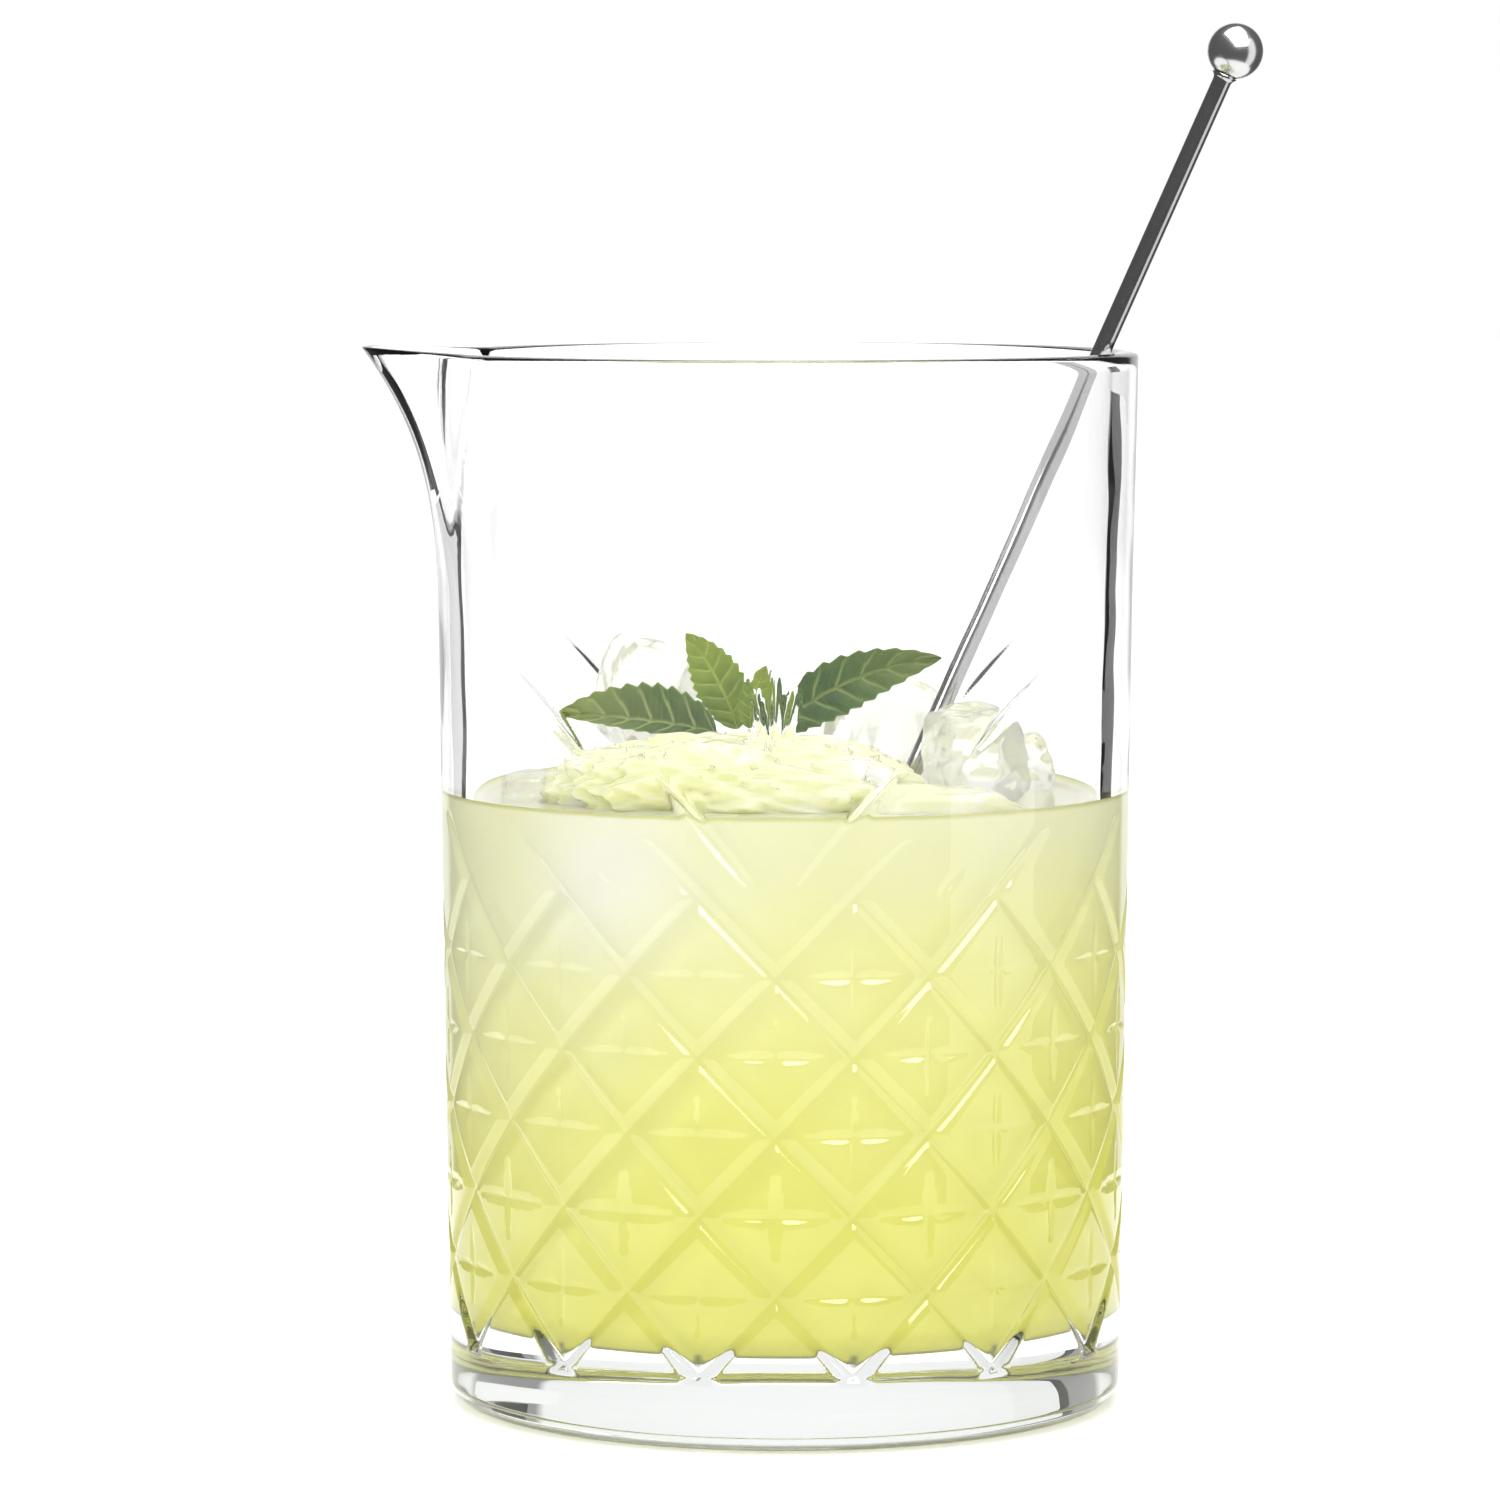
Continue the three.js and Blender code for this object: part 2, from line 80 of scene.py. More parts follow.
NODES_AROUND = 14
HALF_COLUMN = 180.0 / NODES_AROUND
LATTICE_TURN = -1.5
LATTICE_FOOT = 10.7
HALF_DIAMOND = 11.0
LATTICE_ROWS = 6
GROOVE_HALF_WIDTH = 1.35
GROOVE_DEPTH = 0.8
ACROSS_REACH, ACROSS_HALF_WIDTH, ACROSS_DEPTH = 7.5, 0.85, 0.6
ACROSS_GAP = 0.35  # half of the gap in the middle of a star's level bar
UP_REACH, UP_HALF_WIDTH, UP_DEPTH = 5.45, 0.6, 0.5

# Cuts above the lattice, to either side of the middle of the front and of the back: from and to, in
# half columns and half diamonds above the lattice, then half width and depth.
RAYS = (
    (0.19, 0.0, 1.58, 1.63, 1.2, 0.8),
    (2.09, 0.0, 2.46, 0.33, 0.6, 0.5),
    (2.53, 1.72, 3.72, 2.75, 1.1, 0.9),
    (0.12, 1.95, 0.30, 2.75, 0.5, 0.5),
)
MIDDLE_RAY = (0.0, 1.9, 0.0, 2.85, 0.6, 0.6)
RUN_ON = ((1, 0.72), (3, 0.78), (5, 0.78))  # lattice grooves that run on above the top row

COLUMNS = 28 * 24
FINE_STEP = 0.44
BORE_COLUMNS = COLUMNS // 4
FLOOR_RING = 20.0  # radius of the innermost ring of the floor's mesh

# ---- Meshes --------------------------------------------------------------------------------------


def add_mesh(name, vertices, faces, body, replaced=(), smooth=True):
    mesh = bpy.data.meshes.new(name)
    mesh.from_pydata((np.asarray(vertices) * MM).tolist(), [], faces)
    mesh.update()
    if smooth:
        mesh.shade_smooth()
    piece = bpy.data.objects.new(name, mesh)
    bpy.context.scene.collection.objects.link(piece)
    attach(piece, body)
    if replaced:
        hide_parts(*replaced)
    return piece


def ring_faces(low, high):
    """Faces between two closed rings of vertex numbers, where high may have a whole fraction of low."""
    n, m = len(low), len(high)
    if n == m:
        return [(low[i], low[(i + 1) % n], high[(i + 1) % n], high[i]) for i in range(n)]
    share = n // m
    faces = []
    for j in range(m):
        part = [low[(j * share + k) % n] for k in range(share + 1)]
        faces.append((*part, high[(j + 1) % m], high[j]))
    return faces


def skin(rings, first, last):
    """A closed surface through rings of points, from the point first to the point last."""
    vertices = [first]
    numbers = []
    for ring in rings:
        numbers.append(np.arange(len(vertices), len(vertices) + len(ring)).tolist())
        vertices.extend(ring)
    vertices.append(last)
    faces = []
    for low, high in zip(numbers, numbers[1:]):
        faces.extend(ring_faces(low, high))
    start, end = numbers[0], numbers[-1]
    faces.extend((0, start[(i + 1) % len(start)], start[i]) for i in range(len(start)))
    top = len(vertices) - 1
    faces.extend((end[i], end[(i + 1) % len(end)], top) for i in range(len(end)))
    return vertices, faces


# ---- Glass ---------------------------------------------------------------------------------------


def smoothstep(x, low, high):
    t = np.clip((x - low) / (high - low), 0, 1)
    return t * t * (3 - 2 * t)


def outer_radius(z):
    heel = HEEL_RADIUS - np.minimum(z, HEEL_RADIUS)
    rounding = HEEL_RADIUS - np.sqrt(np.maximum(HEEL_RADIUS**2 - heel**2, 0))
    return BASE_RADIUS + WALL_SLOPE * z + RIM_FLARE * smoothstep(z, FLARE_START, HEIGHT) - rounding


def bore_radius(z):
    straight = np.interp(z, BORE_HEIGHTS, BORE_RADII)
    slope = (BORE_RADII[1] - BORE_RADII[0]) / (BORE_HEIGHTS[1] - BORE_HEIGHTS[0])
    foot = BORE_RADII[0] + (z - BORE_HEIGHTS[0]) * slope
    radius = np.where(z < BORE_HEIGHTS[0], foot, straight)
    sunk = np.clip(1 - (z - FLOOR) / BORE_FILLET, 0, 1)
    return radius - BORE_FILLET * (1 - np.sqrt(1 - sunk**2))


def wall_point(angle, radius, z, inward=0.0):
    """Points of the wall, thrown outwards near the spout; inward is 0 outside and 1 in the bore."""
    rise = np.clip((z - SPOUT_START) / (HEIGHT - SPOUT_START), 0, 1)
    half = SPOUT_ROOT_HALF_ANGLE + (SPOUT_HALF_ANGLE - SPOUT_ROOT_HALF_ANGLE) * rise
    across = np.minimum(np.abs(np.mod(angle, 360) - 180) / half, 1)
    throw = SPOUT_THROW * rise**SPOUT_CURVE * np.cos(across * np.pi / 2) ** 2
    r = radius + throw * (1 + SPOUT_TAPER * inward)
    turn = np.radians(angle)
    height = np.broadcast_to(z, np.shape(turn)) + SPOUT_LIFT * throw / SPOUT_THROW
    return np.stack([r * np.cos(turn), r * np.sin(turn), height], axis=-1)


def cut(distance, half_width, depth, edge=0.12):
    """A V groove whose shoulders are a little rounded."""
    t = 1 - np.sqrt(distance**2 + 0.01) / half_width
    soft = np.where(t < edge, np.maximum(t + edge, 0) ** 2 / (4 * edge), t)
    return depth * np.where(t < -edge, 0, soft)


def leaf_cut(x, y, ray, side_scale):
    """Depth of a cut that is pointed at both ends."""
    x0, y0, x1, y1, half_width, depth = ray
    start = np.array([x0 * side_scale, y0 * HALF_DIAMOND])
    along = np.array([x1 * side_scale, y1 * HALF_DIAMOND]) - start
    length = np.hypot(*along)
    along /= length
    dx, dy = x * side_scale - start[0], y * HALF_DIAMOND - start[1]
    t = np.clip((dx * along[0] + dy * along[1]) / length, 0, 1)
    off = np.hypot(dx - along[0] * t * length, dy - along[1] * t * length)
    swell = np.sin(np.pi * t**0.8) ** 0.8
    return np.maximum(swell * depth - off * depth / half_width, 0)


def relief(angle, z):
    """Depth of the cuts in the outer wall."""
    u = (angle + 90 - LATTICE_TURN) / HALF_COLUMN
    v = (z - LATTICE_FOOT) / HALF_DIAMOND
    column = np.radians(HALF_COLUMN) * BASE_RADIUS
    slant = math.sqrt(0.5) * HALF_DIAMOND
    panel = np.mod(u + NODES_AROUND / 2, NODES_AROUND) - NODES_AROUND / 2
    side = np.abs(panel)
    above = v - LATTICE_ROWS

    inside = np.clip(1 + v / 0.1, 0, 1) * np.clip(1 - above / 0.06, 0, 1)
    deepest = np.zeros(np.broadcast(u, v).shape)
    for sign in (-1, 1):
        off = np.abs(np.mod(u + sign * v, 2) - 1) * slant
        deepest = np.maximum(deepest, cut(off, GROOVE_HALF_WIDTH, GROOVE_DEPTH) * inside)

    for start, rise in RUN_ON:
        off = np.abs(side - start - above) * slant
        fade = np.sqrt(np.clip(1 - above / rise, 0, 1)) * (above > -0.5)
        deepest = np.maximum(deepest, cut(off, GROOVE_HALF_WIDTH, GROOVE_DEPTH) * fade)
    for ray in RAYS:
        deepest = np.maximum(deepest, leaf_cut(side, above, ray, column))
    deepest = np.maximum(deepest, leaf_cut(side, above, MIDDLE_RAY, column))

    row = np.round(v)
    star = 2 * np.round((u - row) / 2) + row
    dx, dy = np.abs(u - star) * column, np.abs(v - row) * HALF_DIAMOND
    t = np.clip((dx - ACROSS_GAP) / (ACROSS_REACH - ACROSS_GAP), 0, 1)
    lobe = np.sin(np.pi * t**0.5)
    across = np.maximum(lobe - dy / ACROSS_HALF_WIDTH, 0) * ACROSS_DEPTH
    stem = np.sqrt(np.clip(1 - (dy / UP_REACH) ** 2, 0, 1))
    up = np.maximum(stem - dx / UP_HALF_WIDTH, 0) * UP_DEPTH
    starred = (row > 0) & (row < LATTICE_ROWS)
    return np.maximum(deepest, np.where(starred, np.maximum(across, up), 0))


def glass_mesh():
    angles = LATTICE_TURN - 90 + np.arange(COLUMNS) * 360 / COLUMNS
    heel = [0.0, 0.1, 0.4, 0.9, 1.5, 2.2, HEEL_RADIUS, 5.0, 7.5]
    carved = np.arange(9.0, SPOUT_START, FINE_STEP)
    upper = np.linspace(SPOUT_START, HEIGHT - LIP_DROP, 30)
    rings = [wall_point(angles, outer_radius(z) - relief(angles, z), z) for z in (*heel, *carved)]
    rings += [wall_point(angles, outer_radius(z), z) for z in upper]
    outside, inside = outer_radius(HEIGHT - LIP_DROP), BORE_RADII[-1]
    spread = np.clip(1 - np.abs(np.mod(angles, 360) - 180) / SPOUT_HALF_ANGLE, 0, 1)
    drop = LIP_DROP + (SPOUT_LIP_DROP - LIP_DROP) * smoothstep(spread, 0, 0.4)
    for turn in np.radians(np.linspace(15, 165, 11)):
        radius = (outside + inside) / 2 + (outside - inside) / 2 * np.cos(turn)
        height = HEIGHT - drop * (1 - np.sin(turn))
        rings.append(wall_point(angles, radius, height, (1 - np.cos(turn)) / 2))
    bore_angles = angles[:: COLUMNS // BORE_COLUMNS]
    down = np.concatenate([np.linspace(HEIGHT - LIP_DROP, 90, 34), np.linspace(86, 24, 12)])
    fillet = FLOOR + BORE_FILLET * (1 - np.sin(np.radians(np.linspace(0, 88, 12))))
    rings += [wall_point(bore_angles, bore_radius(z), z, 1.0) for z in (*down, *fillet)]
    rings.append(wall_point(bore_angles, FLOOR_RING, FLOOR))
    return skin([ring.tolist() for ring in rings], [0, 0, 0], [0, 0, FLOOR])


# ---- Materials -----------------------------------------------------------------------------------


def new_material(name, **values):
    material = bpy.data.materials.new(name)
    material.use_nodes = True
    shader = material.node_tree.nodes["Principled BSDF"]
    for key, value in values.items():
        shader.inputs[key.replace("_", " ")].default_value = value
    return material, material.node_tree, shader


def node(tree, kind, links=(), **settings):
    made = tree.nodes.new(kind)
    for key, value in settings.items():
        if key in made.inputs:
            made.inputs[key].default_value = value
        else:
            setattr(made, key, value)
    for socket, source in dict(links).items():
        tree.links.new(source, made.inputs[socket])
    return made


def object_coordinates(tree):
    return node(tree, "ShaderNodeTexCoord").outputs["Object"]


def noise(tree, scale, detail=2.0, roughness=0.5):
    links = {"Vector": object_coordinates(tree)}
    made = node(tree, "ShaderNodeTexNoise", links, Scale=scale, Detail=detail)
    made.inputs["Roughness"].default_value = roughness
    return made.outputs["Fac"]


def ramp(tree, factor, *stops):
    """A colour ramp; each stop is (place, colour)."""
    made = node(tree, "ShaderNodeValToRGB", {"Fac": factor})
    elements = made.color_ramp.elements
    while len(elements) < len(stops):
        elements.new(0.5)
    for element, (place, colour) in zip(elements, stops):
        element.position = place
        element.color = (*colour, 1)
    return made.outputs["Color"]


def bump(tree, shader, height, strength, distance):
    made = node(tree, "ShaderNodeBump", {"Height": height}, Strength=strength, Distance=distance)
    tree.links.new(made.outputs["Normal"], shader.inputs["Normal"])


def glass_material():
    material, tree, shader = new_material(
        "clear_glass", Base_Color=(1, 1, 1, 1), Transmission_Weight=1.0, IOR=1.5, Roughness=0.0
    )
    bump(tree, shader, noise(tree, 55, 1.0), 0.12, 0.001)
    body = node(tree, "ShaderNodeVolumeAbsorption", Color=(0.86, 0.90, 0.88, 1), Density=6.0)
    tree.links.new(body.outputs["Volume"], tree.nodes["Material Output"].inputs["Volume"])
    return material


def level_of(tree, value, low, high):
    """Turns a value between low and high into a share from 0 to 1."""
    made = node(tree, "ShaderNodeMapRange", {"Value": value})
    made.inputs["From Min"].default_value = low
    made.inputs["From Max"].default_value = high
    return made.outputs["Result"]


def compare(tree, operation, value, limit):
    """1 where a whole number is above, below or equal to a limit, as the operation says."""
    made = node(tree, "ShaderNodeMath", {0: value}, operation=operation)
    made.inputs[1].default_value = limit
    made.inputs[2].default_value = 0.1  # how near counts as equal
    return made.outputs[0]


def product(tree, first, second):
    return node(tree, "ShaderNodeMath", {0: first, 1: second}, operation="MULTIPLY").outputs[0]


def scaled_onto(tree, value, factor, other):
    """value times factor, plus other."""
    made = node(tree, "ShaderNodeMath", {0: value, 2: other}, operation="MULTIPLY_ADD")
    made.inputs[1].default_value = factor
    return made.outputs[0]


def mix_value(tree, share, first, second):
    """first where share is 0 and second where it is 1; each is a number or a socket."""
    made = node(tree, "ShaderNodeMix", {"Factor": share}, data_type="FLOAT")
    for socket, value in (("A", first), ("B", second)):
        if isinstance(value, float):
            made.inputs[socket].default_value = value
        else:
            tree.links.new(value, made.inputs[socket])
    return made.outputs["Result"]


def mix_colour(tree, share, first, second):
    """first where share is 0 and second where it is 1; each is a colour or a socket."""
    made = node(tree, "ShaderNodeMix", {"Factor": share}, data_type="RGBA")
    for socket, colour in (("A", first), ("B", second)):
        if isinstance(colour, tuple):
            made.inputs[socket].default_value = (*colour, 1)
        else:
            tree.links.new(colour, made.inputs[socket])
    return made.outputs["Result"]


ICE_BENEATH = (-0.024, -0.038, 0.079)  # where a cube shows through the cloudy drink, in metres
ICE_EDGE = (0.024, 0.012)  # distances over which its pale patch fades in
ICE_BLUR = 0.014
CLOUD_DRIFT = 0.035  # how far clouds, and then the left side, move the colours along the height; the paler left side is painted light from that side
LEFT_PAINTED_LIGHT = 0.018
COLOUR_SPAN = (0.022, 0.106)  # heights between which the drink turns pale
UNDERSIDE_SHADE = 0.0006  # thickness of the painted shade at its foot, a dark olive band standing in for the shadow under the drink
MENISCUS = 0.9  # millimetres that the drink climbs up the wall
MENISCUS_CURVE = ((0.25, 0.62), (0.6, 0.36), (1.1, 0.16), (1.8, 0.05), (3.0, 0.0))  # way in and height


def drink_material():
    material, tree, shader = new_material(
        "cloudy_drink", Roughness=0.12, IOR=1.34, Subsurface_Weight=0.3, Subsurface_Scale=0.004
    )
    shader.inputs["Subsurface Radius"].default_value = (1.0, 0.9, 0.35)
    here = object_coordinates(tree)
    place = node(tree, "ShaderNodeSeparateXYZ", {"Vector": here})
    cloud = noise(tree, 26, 3.0, 0.6)
    drift = scaled_onto(tree, cloud, CLOUD_DRIFT, place.outputs["Z"])
    # painted light: the left side is moved towards the paler colours, as if lit more from the left
    left = level_of(tree, place.outputs["X"], 0.0, -0.04)
    drift = scaled_onto(tree, left, LEFT_PAINTED_LIGHT, drift)
    colour = ramp(
        tree,
        level_of(tree, drift, *COLOUR_SPAN),
        (0.0, (0.84, 0.82, 0.19)),
        (0.35, (0.85, 0.84, 0.20)),
        (0.60, (0.89, 0.88, 0.33)),
        (0.80, (0.90, 0.90, 0.46)),
        (1.0, (0.90, 0.905, 0.60)),
    )
    away = node(tree, "ShaderNodeVectorMath", {0: here}, operation="DISTANCE")
    away.inputs[1].default_value = ICE_BENEATH
    blurred = scaled_onto(tree, cloud, ICE_BLUR, away.outputs["Value"])
    colour = mix_colour(tree, level_of(tree, blurred, *ICE_EDGE), colour, (0.96, 0.95, 0.80))
    # painted shade: the drink's foot is darkened to olive where its underside lies in shadow
    under = level_of(tree, place.outputs["Z"], MM * FLOOR + UNDERSIDE_SHADE, MM * FLOOR)
    colour = mix_colour(tree, under, colour, (0.40, 0.42, 0.20))
    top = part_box("drink")[1].z
    edge = level_of(tree, place.outputs["Z"], top - 0.7 * MM * MENISCUS, top - 0.35 * MM * MENISCUS)
    colour = mix_colour(tree, edge, colour, (0.84, 0.85, 0.36))
    tree.links.new(colour, shader.inputs["Base Color"])
    return material


def ice_material(name, transmission):
    material, tree, shader = new_material(
        name, IOR=1.31, Roughness=0.15, Transmission_Weight=transmission
    )
    cracks = noise(tree, 240, 5.0, 0.65)
    tint = ramp(tree, cracks, (0.3, (0.97, 0.975, 0.90)), (0.6, (1.0, 1.0, 0.97)))
    tree.links.new(tint, shader.inputs["Base Color"])
    bump(tree, shader, noise(tree, 150, 3.0, 0.55), 0.25, 0.002)
    return material


def slush_material():
    material, tree, shader = new_material(
        "crushed_ice", Roughness=0.06, IOR=1.33, Subsurface_Weight=0.7, Subsurface_Scale=0.004
    )
    shader.inputs["Subsurface Radius"].default_value = (1.0, 1.0, 0.6)
    grain = noise(tree, 120, 5.0, 0.6)
    patches = noise(tree, 38, 2.0, 0.5)
    soaked = ramp(tree, patches, (0.35, (0.84, 0.85, 0.42)), (0.62, (0.88, 0.89, 0.60)))
    specks = level_of(tree, grain, 0.56, 0.68)
    tree.links.new(mix_colour(tree, specks, soaked, (0.93, 0.94, 0.83)), shader.inputs["Base Color"])
    bump(tree, shader, grain, 0.3, 0.0015)
    return material


def leaf_material(name, deep, pale, vein, tip):
    material, tree, shader = new_material(name, Roughness=0.55, Subsurface_Weight=0.1)
    shader.inputs["Specular IOR Level"].default_value = 0.06
    shader.inputs["Subsurface Scale"].default_value = 0.001
    shader.inputs["Subsurface Radius"].default_value = (0.6, 1.0, 0.2)
    colour = ramp(tree, noise(tree, 420, 4.0, 0.65), (0.38, deep), (0.66, pale))
    for attribute, towards in (("tip", tip), ("vein", vein)):
        share = node(tree, "ShaderNodeAttribute", attribute_name=attribute).outputs["Fac"]
        colour = mix_colour(tree, share, colour, towards)
    tree.links.new(colour, shader.inputs["Base Color"])
    bump(tree, shader, noise(tree, 1400, 2.0), 0.25, 0.0002)
    return material


def steel_material(name, tone, roughness, wear):
    """Polished steel whose roughness, from and to, and whose bump follow fine wear."""
    material, tree, shader = new_material(name, Base_Color=(tone, tone, tone, 1), Metallic=1.0)
    streaks = noise(tree, 900, 3.0)
    rough = node(tree, "ShaderNodeMapRange", {"Value": streaks})
    rough.inputs["To Min"].default_value, rough.inputs["To Max"].default_value = roughness
    tree.links.new(rough.outputs["Result"], shader.inputs["Roughness"])
    bump(tree, shader, streaks, wear, 0.0002)
    return material


# ---- Drink ---------------------------------------------------------------------------------------

WETTED = 0.06  # the drink reaches this far into the wall, so that no film of air shows between them


def drink_mesh():
    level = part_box("drink")[1].z / MM - MENISCUS
    turn = np.radians(np.arange(BORE_COLUMNS) * 360 / BORE_COLUMNS)

    def ring(r, z):
        return np.stack([r * np.cos(turn), r * np.sin(turn), np.full(turn.shape, z)], axis=-1).tolist()

    fillet = FLOOR + BORE_FILLET * (1 - np.cos(np.radians(np.linspace(4, 90, 14))))
    heights = np.concatenate([fillet, np.linspace(FLOOR + BORE_FILLET + 2, level, 40)])
    rings = [ring(FLOOR_RING, FLOOR - WETTED)]
    for z in heights:
        rings.append(ring(float(bore_radius(z)) + WETTED, z - WETTED * (z < FLOOR + BORE_FILLET)))
    wall = float(bore_radius(level))
    rings.append(ring(wall + WETTED, level + MENISCUS))
    rings += [ring(wall - away, level + climb) for away, climb in MENISCUS_CURVE]
    for share in (0.85, 0.7, 0.55, 0.4, 0.25, 0.12):
        rings.append(ring(wall * share, level))
    return skin(rings, [0, 0, FLOOR - WETTED], [0, 0, level])


# ---- Ice -----------------------------------------------------------------------------------------


def lump_mesh(low, high, turn, squareness, uneven, seed, cuts=28, waves=14, finest=9.0):
    """An ice lump inside a box: a rounded block whose surface waves at several sizes."""
    random = np.random.default_rng(seed)
    swells = random.normal(size=(waves, 3)) * np.linspace(2.0, finest, waves)[:, None]
    phases = random.uniform(0, 2 * np.pi, waves)
    axis = np.linspace(-1, 1, cuts)
    a, b = np.meshgrid(axis, axis, indexing="ij")
    one = np.ones_like(a)
    sides = [(one, a, b), (-one, b, a), (b, one, a), (a, -one, b), (a, b, one), (b, a, -one)]
    points, faces = [], []
    for side in sides:
        start = len(points) * cuts * cuts
        points.append(np.stack(side, axis=-1).reshape(-1, 3))
        for i in range(cuts - 1):
            for j in range(cuts - 1):
                k = start + i * cuts + j
                faces.append((k, k + cuts, k + cuts + 1, k + 1))
    p = np.concatenate(points)
    p /= np.linalg.norm(p, axis=1)[:, None]
    norm = (np.abs(p) ** squareness).sum(axis=1) ** (1 / squareness)
    swell = (np.sin(p @ swells.T + phases) / np.linspace(1, 3, waves)).sum(axis=1)
    p *= ((1 + uneven * swell) / norm)[:, None]
    p = p @ np.array(Euler(np.radians(turn)).to_matrix()).T
    reach = np.abs(p).max(axis=0)
    centre, half = (np.array(low) + np.array(high)) / 2, (np.array(high) - np.array(low)) / 2
    return p / reach * half + centre, faces


CUBE_SQUARENESS, HEAP_SQUARENESS = 4.5, 2.4  # 2 is an ellipsoid, and more is nearer a block
HEAP_RISE = 0.9  # the crushed ice stands this much higher than its solid core
SIDE_HEAP = ((8.0, -31.0, 80.0), (33.5, -17.4, 90.3))  # a lower heap to the right of it
SHARDS = 90
SHARD_SIZES = (0.5, 1.5)  # millimetres


def shard_mesh(ground, low, high, seed):
    """Loose splinters of ice strewn over the upper part of a heap, kept inside its box."""
    random = np.random.default_rng(seed)
    ground = ground[ground[:, 2] > (low[2] + high[2]) / 2 + 1.0]
    corners = np.array([(1, 0, 0), (0, 1, 0), (-1, 0, 0), (0, -1, 0), (0, 0, 1), (0, 0, -1)])
    sides = [(0, 1, 4), (1, 2, 4), (2, 3, 4), (3, 0, 4), (1, 0, 5), (2, 1, 5), (3, 2, 5), (0, 3, 5)]
    vertices, faces = [], []
    for _ in range(SHARDS):
        size = random.uniform(*SHARD_SIZES)
        shape = corners * random.uniform(0.4, 1.3, (6, 1)) * random.uniform(0.4, 1.0, 3) * size
        turn = np.array(Euler(random.uniform(0, 2 * np.pi, 3)).to_matrix())
        centre = ground[random.integers(len(ground))]
        start = len(vertices)
        vertices.extend(np.clip(shape @ turn.T + centre, low, high))
        faces.extend([(a + start, b + start, c + start) for a, b, c in sides])
    return np.array(vertices), faces


ICE_TURNS = {
    "ice_cube_back_left": (8, 12, 24),
    "ice_cube_back_right": (-8, 6, -20),
    "ice_cube_right": (6, -10, 30),
    "ice_chip_left": (0, 6, 12),
    "ice_chip_right": (0, -18, 10),
    "ice_cube_front_left": (4, 6, -36),
    "ice_cube_front_right": (-3, 8, 19),
}


def weld(piece):
    """Joins the six faces of a lump along their edges."""
    made = bmesh.new()
    made.from_mesh(piece.data)
    bmesh.ops.remove_doubles(made, verts=made.verts, dist=1e-6)
    bmesh.ops.recalc_face_normals(made, faces=made.faces)
    made.to_mesh(piece.data)
    made.free()
    piece.data.shade_smooth()


def add_ice(clear, flaked, slush):
    bodies = frame["record"]["behaviour"]["bodies"]
    owners = {name: body for body, members in bodies.items() for name in members}
    for seed, (name, turn) in enumerate(ICE_TURNS.items()):
        low, high = (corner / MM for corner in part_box(name))
        lump = lump_mesh(low, high, turn, CUBE_SQUARENESS, 0.02, seed)
        piece = add_mesh(name + "_wet", *lump, owners[name], (name,))
        weld(piece)
        piece.data.materials.append(clear)
    low, high = (np.array(corner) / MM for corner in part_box("ice_slush"))
    high[2] += HEAP_RISE
    surface, faces = lump_mesh(
        low, high, (0, 0, 0), HEAP_SQUARENESS, 0.016, 40, cuts=130, waves=44, finest=26.0
    )
    heap = add_mesh("ice_heap", surface, faces, "contents", ("ice_slush",))
    lump = lump_mesh(*SIDE_HEAP, (0, 0, 12), HEAP_SQUARENESS, 0.02, 41, cuts=70, waves=40)
    side = add_mesh("ice_heap_side", *lump, "contents")
    for piece in (heap, side):
        weld(piece)
        piece.data.materials.append(slush)
    flakes = add_mesh("ice_flakes", *shard_mesh(surface, low, high, 7), "contents", smooth=False)
    flakes.data.materials.append(flaked)


# ---- Mint ----------------------------------------------------------------------------------------


def bezier(points, t):
    a, b, c = (np.array(p) for p in points)
    t = t[:, None]
    place = a * (1 - t) ** 2 + 2 * b * t * (1 - t) + c * t**2
    along = 2 * (b - a) * (1 - t) + 2 * (c - b) * t
    return place, along / np.linalg.norm(along, axis=1)[:, None]


